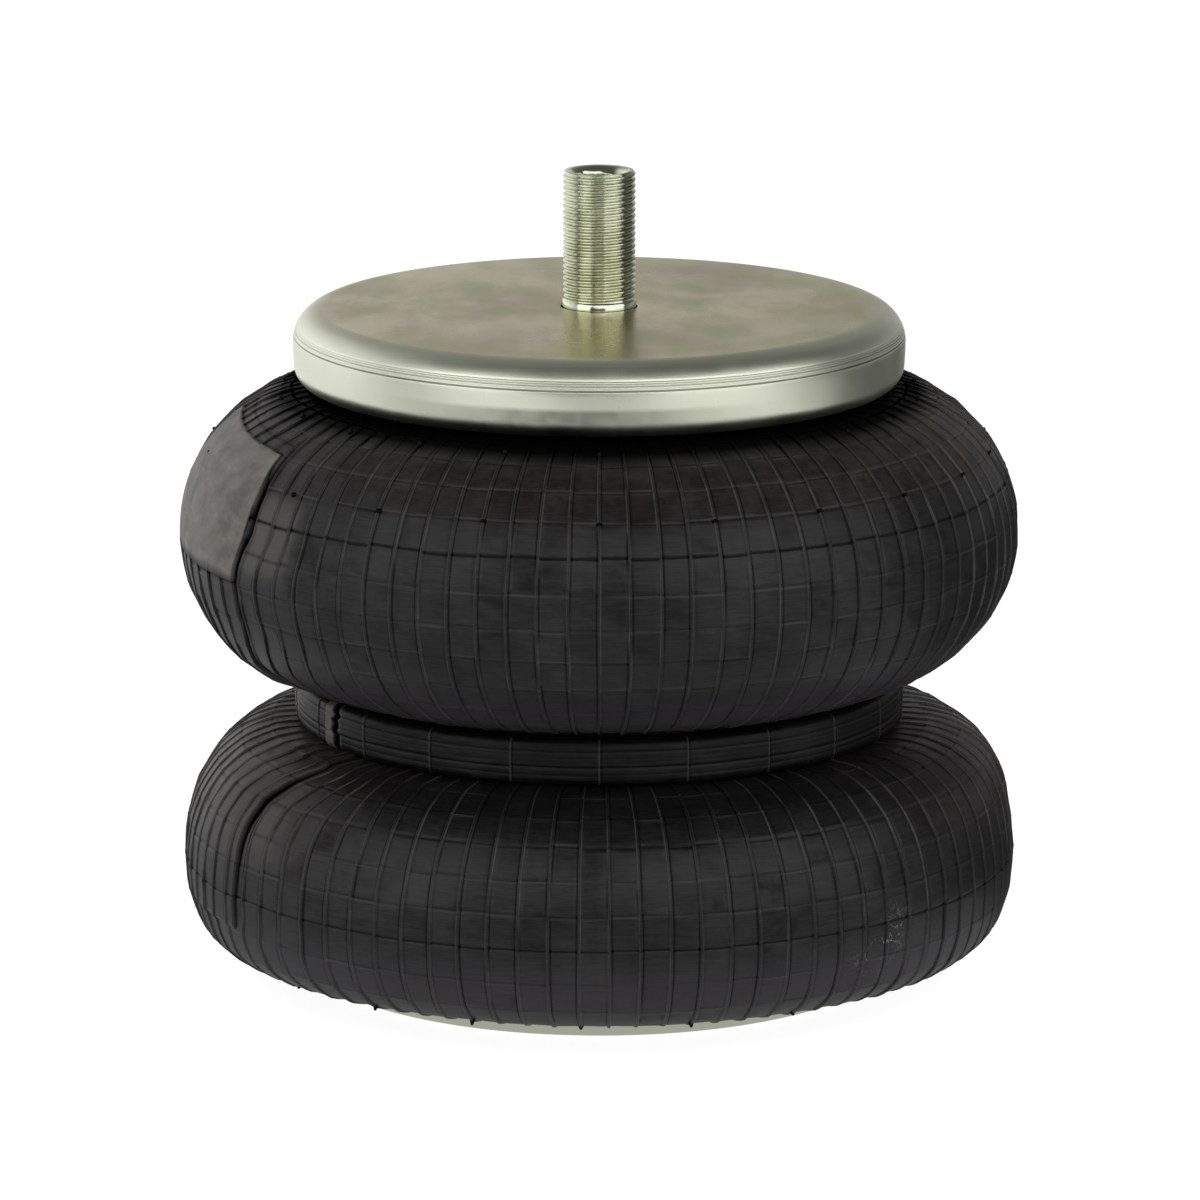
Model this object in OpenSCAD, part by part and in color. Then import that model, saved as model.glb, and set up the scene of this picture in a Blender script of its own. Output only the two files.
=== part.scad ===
// Double convoluted air spring: two rubber convolutions between crimped steel bead plates.
// Every piece is turned about +Z, apart from the two blind nuts and the raised splices of the covers.
// The underside of the bottom bead plate lies at z = 0.

/* [Overall] */
// Height from the underside of the bottom plate to the face of the top plate
design_h = 176.1; // [165:1:190]
// Height of the girdle hoop's middle above the underside
girdle_z = 72.8; // [70:0.2:76]

/* [Bead plates] */
// Outer radius of both bead plates
plate_r = 80.15; // [78:0.5:84]
// Thickness of the plate steel
plate_t = 3; // [2.5:0.1:3.4]
// Height of the rolled rim, from the plate's face to the underside of its lip
rim_h = 19.3; // [18:0.5:22]
// Outer radius of the top plate's pressed shoulder between its face and its rim
top_shoulder_r = 9; // [7:0.5:10]
// Outer radius of the bottom plate's sharper shoulder
bottom_shoulder_r = 3.8; // [3.6:0.2:6]
// Outer radius of the curl at the rolled lip
curl_r = 6.4; // [6:0.1:7]
// How far the lip reaches in from the plate's outer radius
lip_reach = 11.15; // [10:0.05:12]

/* [Bellows wall] */
// Thickness of the rubber outer cover
cover_t = 1.8; // [1.2:0.1:2.2]
// Thickness of one rubberised cord ply
ply_t = 1; // [0.8:0.1:1.2]
// Thickness of the airtight inner liner
liner_t = 1.6; // [1.2:0.1:2]
// Squareness of the crowned convolutions, where 2 is an ellipse
crown_power = 2.08; // [1.9:0.02:2.4]

/* [Upper convolution] */
// Outer radius at its widest ring
upper_bulge_r = 110.2; // [106:1:116]
// Distance of its widest ring below the top plate's face
upper_equator_drop = 59; // [56:0.5:62]
// Radial half width of its crown
upper_crown_w = 42; // [38:1:44]

/* [Lower convolution] */
// Outer radius at its widest ring
lower_bulge_r = 110; // [106:1:116]
// Height of its widest ring above the underside
lower_equator_z = 30.8; // [28:0.2:33]
// Radial half width of its crown
lower_crown_w = 30; // [28:1:34]
// Gap between the floor and the sagging fold round the bottom plate
sag_floor_gap = 6.5; // [5.9:0.1:6.6]
// Radial half width of the sagging fold on the side of the plate
sag_w = 7.15; // [6.5:0.05:7.5]
// Squareness of the sagging fold's outer side
sag_power = 2.4; // [2:0.1:2.4]

/* [Cover splice] */
// Angle of the visible edge where the outer cover overlaps itself, from +X
splice_angle = -148; // [-180:1:180]
// Angle that the overlap spans
splice_span = 12; // [8:1:20]
// How far the overlap stands proud
splice_t = 1; // [0.6:0.1:1.4]
// Radial distance at which the overlap ends, outside the hoop and the plates
splice_margin = 4.3; // [3:0.1:8]
// Height at which the lower overlap ends
splice_low_z = 22; // [18:1:26]

/* [Girdle hoop] */
// Outer radius of the hoop's rubber cover
hoop_r = 80.7; // [79:0.5:83]
// Height of the hoop
hoop_h = 12.2; // [10:0.2:13]
// Radial depth of the hoop
hoop_w = 7.3; // [6.8:0.1:8]
// Rounding of the hoop's edges
hoop_edge_r = 2; // [1:0.25:2.5]
// Radius of one wire of the hoop
hoop_wire_r = 0.85; // [0.6:0.05:0.9]

/* [Beads] */
// Radius of one turn of bead wire
bead_wire_r = 0.95; // [0.7:0.05:1.05]

/* [Combination stud] */
// Crest radius of the stud's thread
stud_r = 9.525; // [9:0.005:10]
// Height of the stud above the top plate's face
stud_h = 35.8; // [30:0.2:45]
// Radius of the plain collar at the stud's foot
collar_r = 9.7; // [9.6:0.05:10.5]
// Height of the collar above the top plate's face
collar_h = 2.3; // [1.5:0.1:4]
// Height of the chamfer at the stud's tip
tip_chamfer = 1.4; // [0.8:0.1:2]
// Radius of the threaded air port
port_r = 5.6; // [5:0.1:6]
// Depth of the threaded air port
port_depth = 18; // [14:1:24]
// Radius of the wide countersink at the port's mouth
port_mouth_r = 7.4; // [6.4:0.1:7.6]
// Radius of the plain air passage below the port
passage_r = 4; // [3:0.25:4.5]
// Radius of the stud's head inside the bellows
head_r = 19; // [16:0.5:22]
// Thickness of the stud's head
head_t = 5; // [4:0.5:7]

/* [Blind nuts] */
// Distance between the two nuts
nut_spacing = 69.85; // [60:0.05:76]
// Wall radius of the threaded hole
nut_hole_r = 4; // [3.5:0.1:4.5]
// Depth of the threaded hole
nut_hole_depth = 13; // [10:0.5:16]
// Outer radius of the nut's body
nut_r = 8.5; // [7.5:0.25:10]
// Thickness of the nut's closed end
nut_cap_t = 3; // [2:0.5:4]
// Outer radius of the nut's flange on the plate
nut_flange_r = 11.5; // [10.5:0.25:13]
// Thickness of the nut's flange
nut_flange_t = 2; // [1.5:0.1:3]
// Radius of the nut's pilot in the plate
nut_pilot_r = 6.5; // [6:0.1:7]

/* [Clearances] */
// Gap between the bellows and the steel or hoop that it lies against
seat_gap = 0.2; // [0.1:0.05:0.4]
// Gap between the two convolutions at the girdle
waist_gap = 0.3; // [0.2:0.05:0.5]
// Radial gap round the stud's collar in the plate's hole
stud_gap = 0.35; // [0.2:0.05:0.6]
// Gap round wires and pilots in their seats
small_gap = 0.1; // [0.05:0.05:0.2]

/* [Hidden] */
$fn = 96;
STEPS = 12;
eps = 0.01;

wall_t = cover_t + 2 * ply_t + liner_t;
rim_inner_r = plate_r - plate_t;
lip_tip_r = plate_r - lip_reach;
lip_mid_r = lip_tip_r + plate_t / 2;
top_lip_z = design_h - rim_h;
hoop_inner_r = hoop_r - hoop_w;
hoop_mid_r = hoop_r - hoop_w / 2;
hoop_top = girdle_z + hoop_h / 2;
hoop_bottom = girdle_z - hoop_h / 2;
waist_r = hoop_inner_r - seat_gap;
waist_bend = hoop_edge_r + seat_gap;
bead_bend = plate_t / 2 + seat_gap;
upper_equator_z = design_h - upper_equator_drop;
pocket_inner_r = lip_tip_r - seat_gap;
head_z = design_h - plate_t - head_t;
upper_crown_r = upper_bulge_r - upper_crown_w;
lower_crown_r = lower_bulge_r - lower_crown_w;
sag_r = plate_r + seat_gap + sag_w;
filler_inner_r = pocket_inner_r + seat_gap;
filler_outer_r = rim_inner_r - seat_gap;
bead_mid_r = (filler_inner_r + filler_outer_r) / 2;
bead_depth = rim_h / 2;
stud_top = design_h + stud_h;
nut_top = plate_t + nut_flange_t + nut_hole_depth;

// A point of a rounded quarter: centre, half widths, power and angle from the radial direction
function crown(cr, cz, w, h, p, a) = [
    cr + w * pow(abs(cos(a)), 2 / p) * sign(cos(a)),
    cz + h * pow(abs(sin(a)), 2 / p) * sign(sin(a))
];

// A circular bend, from one angle to another
function bend(cr, cz, r, from, to, n = 6) = [
    for (i = [0:n]) [cr + r * cos(from + (to - from) * i / n), cz + r * sin(from + (to - from) * i / n)]
];

// Unit direction of travel at point i of a path
function heading(path, i) =
    let (a = path[max(i - 1, 0)], b = path[min(i + 1, len(path) - 1)], d = b - a)
    d / norm(d);

// The path moved to its left by d
function shifted(path, d) = [
    for (i = [0:len(path) - 1])
        let (t = heading(path, i))
        path[i] + d * [-t[1], t[0]]
];

function backwards(path) = [for (i = [len(path) - 1:-1:0]) path[i]];

// Points of one crown, from one angle to another, that lie outside radius least_r
function crown_arc(cr, cz, w, h, p, from, to, least_r) = [
    for (i = [0:STEPS])
        let (q = crown(cr, cz, w, h, p, from + (to - from) * i / STEPS))
        if (q[0] > least_r) q
];

// Outer surface of the upper convolution, from the girdle up into the top plate
upper_path = concat(
    [[waist_r, girdle_z + waist_gap / 2]],
    bend(waist_r + waist_bend, hoop_top - hoop_edge_r, waist_bend, 180, 90),
    crown_arc(upper_crown_r, upper_equator_z, upper_crown_w,
        upper_equator_z - hoop_top - seat_gap, crown_power, -90, 0, waist_r + waist_bend + 1),
    crown_arc(upper_crown_r, upper_equator_z, upper_crown_w,
        top_lip_z - seat_gap - upper_equator_z, crown_power, 90 / STEPS, 90, lip_mid_r + 1),
    bend(lip_mid_r, top_lip_z + plate_t / 2, bead_bend, 270, 180),
    [[pocket_inner_r, design_h - plate_t - seat_gap]]
);

// Outer surface of the lower convolution, from inside the bottom plate up to the girdle.
// It lies over the rolled rim, sags round it and turns up into the crown.
lower_path = concat(
    [[pocket_inner_r, plate_t + seat_gap]],
    bend(lip_mid_r, rim_h - plate_t / 2, bead_bend, 180, 90),
    bend(plate_r - curl_r, rim_h - curl_r, curl_r + seat_gap, 90, 0),
    [for (i = [1:6]) crown(sag_r, rim_h - curl_r, sag_w, rim_h - curl_r - sag_floor_gap, 2, 180 + 15 * i)],
    crown_arc(sag_r, lower_equator_z, lower_bulge_r - sag_r,
        lower_equator_z - sag_floor_gap, sag_power, -90, 0, sag_r + 1),
    crown_arc(lower_crown_r, lower_equator_z, lower_crown_w,
        hoop_bottom - seat_gap - lower_equator_z, crown_power, 90 / STEPS, 90, waist_r + waist_bend + 1),
    bend(waist_r + waist_bend, hoop_bottom + hoop_edge_r, waist_bend, 270, 180),
    [[waist_r, girdle_z - waist_gap / 2]]
);

// One layer of a bellows wall, between two depths below its outer surface
module layer(path, from, to) {
    rotate_extrude() polygon(concat(shifted(path, from), backwards(shifted(path, to))));
}

// The stretch of a wall's path that its splice covers: outside the hoop and plates, and above a height
function splice_path(path, low_z) =
    let (least_r = max(hoop_r, plate_r) + splice_margin)
    [for (q = path) if (q[0] > least_r && q[1] > low_z) q];

// Raised strip where the cover overlaps itself
module splice(path, low_z) {
    stretch = splice_path(path, low_z);
    rotate([0, 0, splice_angle - splice_span]) rotate_extrude(angle = splice_span)
        polygon(concat(shifted(stretch, -splice_t), backwards(shifted(stretch, cover_t / 2))));
}

// Quarter of a flat ring, drawn in the first quadrant
module quarter_ring(outer, inner) {
    intersection() {
        difference() {
            circle(outer);
            circle(inner);
        }
        square(outer);
    }
}

// Section of a bead plate with its face up at height 0: face, shoulder, rim wall, curl and lip
module bead_plate_section(hole_r, shoulder_r) {
    translate([hole_r, -plate_t]) square([plate_r - shoulder_r - hole_r, plate_t]);
    translate([plate_r - shoulder_r, -shoulder_r]) quarter_ring(shoulder_r, shoulder_r - plate_t);
    translate([rim_inner_r, curl_r - rim_h]) square([plate_t, rim_h - curl_r - shoulder_r]);
    translate([plate_r - curl_r, curl_r - rim_h]) mirror([0, 1]) quarter_ring(curl_r, curl_r - plate_t);
    translate([lip_mid_r, -rim_h]) square([plate_r - curl_r - lip_mid_r, plate_t]);
    translate([lip_mid_r, plate_t / 2 - rim_h]) circle(plate_t / 2);
}

module top_bead_plate() {
    color("#a9a692") translate([0, 0, design_h]) rotate_extrude()
        bead_plate_section(collar_r + stud_gap, top_shoulder_r);
}

module bottom_bead_plate() {
    color("#b9bdae") difference() {
        mirror([0, 0, 1]) rotate_extrude() bead_plate_section(0, bottom_shoulder_r);
        for (side = [-1, 1]) translate([side * nut_spacing / 2, 0, -eps])
            cylinder(r = nut_pilot_r + small_gap, h = plate_t + 2 * eps);
    }
}

// Stud with a head inside the bellows, a tapered air port in its tip and a passage to the air chamber
module combination_stud() {
    color("#c3c58f") rotate_extrude() difference() {
        union() {
            translate([passage_r, head_z]) square([head_r - passage_r, head_t]);
            polygon([
                [passage_r, head_z],
                [collar_r, head_z],
                [collar_r, design_h + collar_h],
                [stud_r, design_h + collar_h],
                [stud_r, stud_top - tip_chamfer],
                [port_mouth_r + (stud_r - port_mouth_r) / 2, stud_top],
                [passage_r, stud_top]
            ]);
        }
        polygon([
            [0, stud_top - port_depth - (port_r - passage_r)],
            [passage_r, stud_top - port_depth - (port_r - passage_r)],
            [port_r, stud_top - port_depth],
            [port_r, stud_top - (port_mouth_r - port_r)],
            [port_mouth_r, stud_top],
            [port_mouth_r, stud_top + 1],
            [0, stud_top + 1]
        ]);
    }
}

// Bundle of wire turns: one in the middle and six round it, in the section at radius r
module wire_bundle(r, z, wire_r) {
    rotate_extrude() {
        translate([r, z]) circle(wire_r, $fn = 24);
        for (k = [0:5]) translate([r, z] + (2 * wire_r + small_gap) * [cos(60 * k), sin(60 * k)])
            circle(wire_r, $fn = 24);
    }
}

// Radius of the round hollow that holds a wire bundle
function bundle_r(wire_r) = 3 * wire_r + 2 * small_gap;

// Section of the rubber that fills a rolled rim round the bead wire, its plate's face up at height 0
module bead_filler_section(shoulder_r) {
    top = -plate_t - seat_gap;
    bottom = plate_t + seat_gap - rim_h;
    top_corner = shoulder_r - plate_t - seat_gap;
    bottom_corner = curl_r - plate_t - seat_gap;
    difference() {
        polygon(concat(
            [[filler_inner_r, top], [filler_inner_r, bottom]],
            bend(filler_outer_r - bottom_corner, bottom + bottom_corner, bottom_corner, 270, 360),
            bend(filler_outer_r - top_corner, top - top_corner, top_corner, 0, 90)
        ));
        translate([bead_mid_r, -bead_depth]) circle(bundle_r(bead_wire_r));
    }
}

module upper_bead_filler() {
    color("#2a2726") translate([0, 0, design_h]) rotate_extrude() bead_filler_section(top_shoulder_r);
}

module lower_bead_filler() {
    color("#2a2726") mirror([0, 0, 1]) rotate_extrude() bead_filler_section(bottom_shoulder_r);
}

module upper_bead_wire() {
    color("#b08d57") wire_bundle(bead_mid_r, design_h - bead_depth, bead_wire_r);
}

module lower_bead_wire() {
    color("#b08d57") wire_bundle(bead_mid_r, bead_depth, bead_wire_r);
}

module upper_outer_cover() {
    color("#2b2a2b") {
        layer(upper_path, 0, cover_t);
        splice(upper_path, 0);
    }
}

module upper_outer_ply() {
    color("#6e5c44") layer(upper_path, cover_t, cover_t + ply_t);
}

module upper_inner_ply() {
    color("#7d6a4f") layer(upper_path, cover_t + ply_t, cover_t + 2 * ply_t);
}

module upper_inner_liner() {
    color("#3a3635") layer(upper_path, cover_t + 2 * ply_t, wall_t);
}

module lower_outer_cover() {
    color("#2b2a2b") {
        layer(lower_path, 0, cover_t);
        splice(lower_path, splice_low_z);
    }
}

module lower_outer_ply() {
    color("#6e5c44") layer(lower_path, cover_t, cover_t + ply_t);
}

module lower_inner_ply() {
    color("#7d6a4f") layer(lower_path, cover_t + ply_t, cover_t + 2 * ply_t);
}

module lower_inner_liner() {
    color("#3a3635") layer(lower_path, cover_t + 2 * ply_t, wall_t);
}

// Rubber cover of the hoop, with rounded edges and a hollow for the wire
module girdle_hoop_cover() {
    left = hoop_inner_r + hoop_edge_r;
    right = hoop_r - hoop_edge_r;
    low = hoop_bottom + hoop_edge_r;
    high = hoop_top - hoop_edge_r;
    color("#252425") rotate_extrude() difference() {
        polygon(concat(
            bend(left, low, hoop_edge_r, 180, 270),
            bend(right, low, hoop_edge_r, 270, 360),
            bend(right, high, hoop_edge_r, 0, 90),
            bend(left, high, hoop_edge_r, 90, 180)
        ));
        translate([hoop_mid_r, girdle_z]) circle(bundle_r(hoop_wire_r));
    }
}

module girdle_hoop_wire() {
    color("#b08d57") wire_bundle(hoop_mid_r, girdle_z, hoop_wire_r);
}

// Closed nut that is welded over a hole of the bottom plate, its threaded hole open below
module blind_nut(side) {
    translate([side * nut_spacing / 2, 0, 0]) difference() {
        union() {
            cylinder(r = nut_pilot_r, h = plate_t);
            translate([0, 0, plate_t]) cylinder(r = nut_flange_r, h = nut_flange_t);
            translate([0, 0, plate_t]) cylinder(r = nut_r, h = nut_top + nut_cap_t - plate_t);
        }
        translate([0, 0, -eps]) cylinder(r = nut_hole_r, h = nut_hole_depth + eps);
    }
}

module blind_nut_left() {
    color("#b4b6a6") blind_nut(-1);
}

module blind_nut_right() {
    color("#b4b6a6") blind_nut(1);
}

top_bead_plate();
bottom_bead_plate();
combination_stud();
upper_bead_filler();
lower_bead_filler();
upper_bead_wire();
lower_bead_wire();
upper_outer_cover();
upper_outer_ply();
upper_inner_ply();
upper_inner_liner();
lower_outer_cover();
lower_outer_ply();
lower_inner_ply();
lower_inner_liner();
girdle_hoop_cover();
girdle_hoop_wire();
blind_nut_left();
blind_nut_right();
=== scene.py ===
import math

import bpy
import numpy as np
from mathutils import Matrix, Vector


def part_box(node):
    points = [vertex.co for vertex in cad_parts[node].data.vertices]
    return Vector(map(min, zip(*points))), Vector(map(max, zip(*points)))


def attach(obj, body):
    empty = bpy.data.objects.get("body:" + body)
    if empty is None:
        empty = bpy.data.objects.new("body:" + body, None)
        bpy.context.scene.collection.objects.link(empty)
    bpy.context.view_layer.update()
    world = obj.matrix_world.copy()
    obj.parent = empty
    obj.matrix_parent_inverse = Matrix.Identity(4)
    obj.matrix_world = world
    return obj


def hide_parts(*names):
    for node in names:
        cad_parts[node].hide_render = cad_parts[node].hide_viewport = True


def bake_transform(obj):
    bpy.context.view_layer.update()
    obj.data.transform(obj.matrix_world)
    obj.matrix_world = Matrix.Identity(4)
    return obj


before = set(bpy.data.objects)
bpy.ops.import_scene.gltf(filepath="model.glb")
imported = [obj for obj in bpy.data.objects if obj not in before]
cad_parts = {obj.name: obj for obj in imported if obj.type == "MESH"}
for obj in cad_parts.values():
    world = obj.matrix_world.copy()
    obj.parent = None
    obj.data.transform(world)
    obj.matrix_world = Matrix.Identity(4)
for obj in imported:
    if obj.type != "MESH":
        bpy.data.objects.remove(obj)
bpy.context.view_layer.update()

bl_info = {
    "name": "Double Convoluted Air Spring",
    "version": (1, 0, 0),
    "blender": (4, 5, 0),
    "location": "View3D > Sidebar > Air Spring",
    "description": "Dresses the construction model of an air spring with rubber, cord and plated steel",
    "category": "Object",
}

MM = 0.001
TOP_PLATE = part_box("top_bead_plate")
BOTTOM_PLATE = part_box("bottom_bead_plate")
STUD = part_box("combination_stud")
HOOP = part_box("girdle_hoop_cover")
UPPER_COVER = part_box("upper_outer_cover")
LOWER_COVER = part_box("lower_outer_cover")
HOOP_EDGE = 2 * MM
HOOP_DEPTH = 7.3 * MM
WAIST = HOOP[1][0] - HOOP_DEPTH - 0.2 * MM
# The angle round the part that faces the camera, in degrees
FRONT = -90.0
WHITE = (1, 1, 1, 1)


# Settings

def length(name, description, size):
    """A setting for a length, its default in millimetres."""
    return bpy.props.FloatProperty(name=name, description=description, default=size * MM, unit="LENGTH")


def number(name, description, default):
    """A setting for a plain number."""
    return bpy.props.FloatProperty(name=name, description=description, default=default)


def count(name, description, default):
    """A setting for a whole number."""
    return bpy.props.IntProperty(name=name, description=description, default=default)


def hex_colour(name, description, default):
    """A setting for a colour, as an sRGB hex value."""
    return bpy.props.StringProperty(name=name, description=description, default=default)


class WallSettings(bpy.types.PropertyGroup):
    """The bellows wall: its layers and the curves of its outer surface"""
    cover: length("Cover", "Thickness of the rubber outer cover", 1.8)
    ply: length("Ply", "Thickness of one cord ply", 1.0)
    liner: length("Liner", "Thickness of the inner liner", 1.6)
    crown_power: number("Crown Power", "Squareness of the crowns, where 2 is an ellipse", 2.08)
    upper_crown: length("Upper Crown", "Radial half width of the upper crown", 42)
    upper_drop: length("Upper Drop", "Depth of the upper widest ring below the top face", 59)
    lower_crown: length("Lower Crown", "Radial half width of the lower crown", 30)
    lower_equator: length("Lower Equator", "Height of the lower widest ring", 30.8)
    sag: length("Sag Width", "Radial half width of the sagging fold's outer side", 22.5)
    sag_power: number("Sag Power", "Squareness of the sagging fold", 2.4)
    sag_floor_gap: length("Sag Floor Gap", "Gap between the floor and the sagging fold", 6.5)
    seat_gap: length("Seat Gap", "Gap between the wall and the steel it lies on", 0.2)
    waist_gap: length("Waist Gap", "Gap between the two convolutions", 0.3)


class NetSettings(bpy.types.PropertyGroup):
    """The moulded net of ribs and rings on both convolutions"""
    ribs: count("Ribs", "Number of ribs round one convolution", 88)
    ribs_per_vent: count("Ribs per Vent", "Ribs from one mould vent to the next", 4)
    rib_width: length("Rib Width", "Width of a rib at the widest ring", 0.9)
    rib_height: length("Rib Height", "Height of a rib", 0.42)
    upper_ring_pitch: length("Upper Ring Pitch", "Distance between rings of the upper convolution", 9.13)
    lower_ring_pitch: length("Lower Ring Pitch", "Distance between rings of the lower convolution", 9.0)
    ring_depth: length("Ring Depth", "Depth of the groove that a mould ring leaves", 0.24)
    flatness: number("Flatness", "How flat each band between two rings is", 0.24)
    splice_angle: number("Splice Angle", "Where the cover's overlap lies, in degrees", -148.0)
    splice_span: number("Splice Span", "How many degrees the cover's overlap fades over", 26.0)
    splice_height: length("Splice Height", "How far the cover's overlap stands proud", 1.0)


class SteelSettings(bpy.types.PropertyGroup):
    """The bead plates and the stud"""
    plate: length("Plate", "Thickness of the plate steel", 3)
    shoulder: length("Shoulder", "Outer radius of the top plate's shoulder", 8.2)
    curl: length("Curl", "Outer radius of the rolled lip", 6.4)
    rim_curl: length("Rim Curl", "Outer radius at the foot of the top plate's rim wall", 4.2)
    lip_reach: length("Lip Reach", "How far the lip reaches in", 11.15)
    stud_hole_gap: length("Stud Hole Gap", "Radial gap round the stud's collar", 0.35)
    stud_radius: length("Stud Radius", "Crest radius of the stud's thread", 9.5)
    collar_radius: length("Collar Radius", "Radius of the stud's plain collar", 9.7)
    collar_height: length("Collar Height", "Height of the collar above the plate", 1.9)
    stud_pitch: length("Stud Pitch", "Pitch of the stud's thread", 1.5875)
    port_pitch: length("Port Pitch", "Pitch of the air port's thread", 1.411)


class ColourSettings(bpy.types.PropertyGroup):
    """Colours of the finishes, as sRGB hex values"""
    rubber: hex_colour("Rubber", "Moulded cover rubber", "#0e0d0e")
    rubber_bloom: hex_colour("Rubber Bloom", "Wax bloom and dust on the rubber", "#463f38")
    rim: hex_colour("Rim", "Zinc plate on the drawn rim", "#e2e5d2")
    plate: hex_colour("Plate", "Zinc plate with yellow chromate on the flat face", "#c3b98c")
    plate_pink: hex_colour("Plate Pink", "Pink cast of the chromate", "#b7a489")
    plate_green: hex_colour("Plate Green", "Green cast of the chromate", "#b3b97c")
    stud: hex_colour("Stud", "Yellow-green zinc plate on the machined stud", "#dadecb")


SETTINGS = {
    "air_spring_wall": WallSettings,
    "air_spring_net": NetSettings,
    "air_spring_steel": SteelSettings,
    "air_spring_colours": ColourSettings,
}


# Shader helpers

def add(tree, kind, *inputs, named=None, output=0, **settings):
    """Adds one shader node with its settings and its inputs, and gives one of its outputs.

    Inputs come by order or by name. Each is a number, a colour, a vector or another node's output.
    """
    node = tree.nodes.new("ShaderNode" + kind)
    for name, setting in settings.items():
        setattr(node, name, setting)
    for name, source in [*enumerate(inputs), *(named or {}).items()]:
        if isinstance(source, bpy.types.NodeSocket):
            tree.links.new(source, node.inputs[name])
        else:
            node.inputs[name].default_value = source
    return node.outputs[output] if node.outputs else node


def linear(code):
    """The linear colour of an sRGB hex value."""
    values = [int(code[i:i + 2], 16) / 255 for i in (1, 3, 5)]
    return [v / 12.92 if v <= 0.04045 else ((v + 0.055) / 1.055) ** 2.4 for v in values] + [1.0]


def empty_tree(owner):
    """The node tree of a material or world, with nothing in it."""
    owner.use_nodes = True
    owner.node_tree.nodes.clear()
    return owner.node_tree


def surfaced(name, inputs_in):
    """A material with a Principled surface, whose inputs a function makes in its tree."""
    material = bpy.data.materials.new(name)
    tree = empty_tree(material)
    surface = add(tree, "BsdfPrincipled", named=inputs_in(tree))
    add(tree, "OutputMaterial", surface)
    return material


def mottled(tree, size_mm, detail=3.0, roughness=0.5, stretch=(1, 1, 1), shift=None):
    """A pattern from 0 to 1 in the object's own space, its spots about size_mm wide.

    Stretch squeezes the spots along each axis, and shift is a vector that moves them.
    """
    where = add(tree, "TexCoord", output="Object")
    where = add(tree, "Mapping", where, named={"Scale": [axis / MM for axis in stretch]})
    if shift:
        where = add(tree, "VectorMath", where, shift, operation="ADD")
    pattern = {"Vector": where, "Scale": 1 / size_mm, "Detail": detail, "Roughness": roughness}
    return add(tree, "TexNoise", named=pattern, output="Fac")


def coated(tree, base, *coats):
    """A colour with others over it, each laid on by its own share."""
    for share, coat in coats:
        base = add(tree, "Mix", named={0: share, 6: base, 7: coat}, output=2, data_type="RGBA")
    return base


def uneven(tree, *layers):
    """A surface direction from layers of relief: for each its heights, its depth in mm and its strength."""
    normal = {}
    for height, depth_mm, strength in layers:
        named = {"Height": height, "Distance": depth_mm * MM, "Strength": strength, **normal}
        normal = {"Normal": add(tree, "Bump", named=named)}
    return normal["Normal"]


def lobe(tree, vector, direction, low, high):
    """Rises from 0 to 1 as a vector turns towards a direction, between two cosines."""
    size = math.hypot(*direction)
    heading = add(tree, "VectorMath", vector, operation="NORMALIZE")
    cosine = add(tree, "VectorMath", heading, [part / size for part in direction], output="Value",
                 operation="DOT_PRODUCT")
    return add(tree, "MapRange", cosine, low, high, 0, 1, clamp=True, interpolation_type="SMOOTHSTEP")


# Materials

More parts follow.
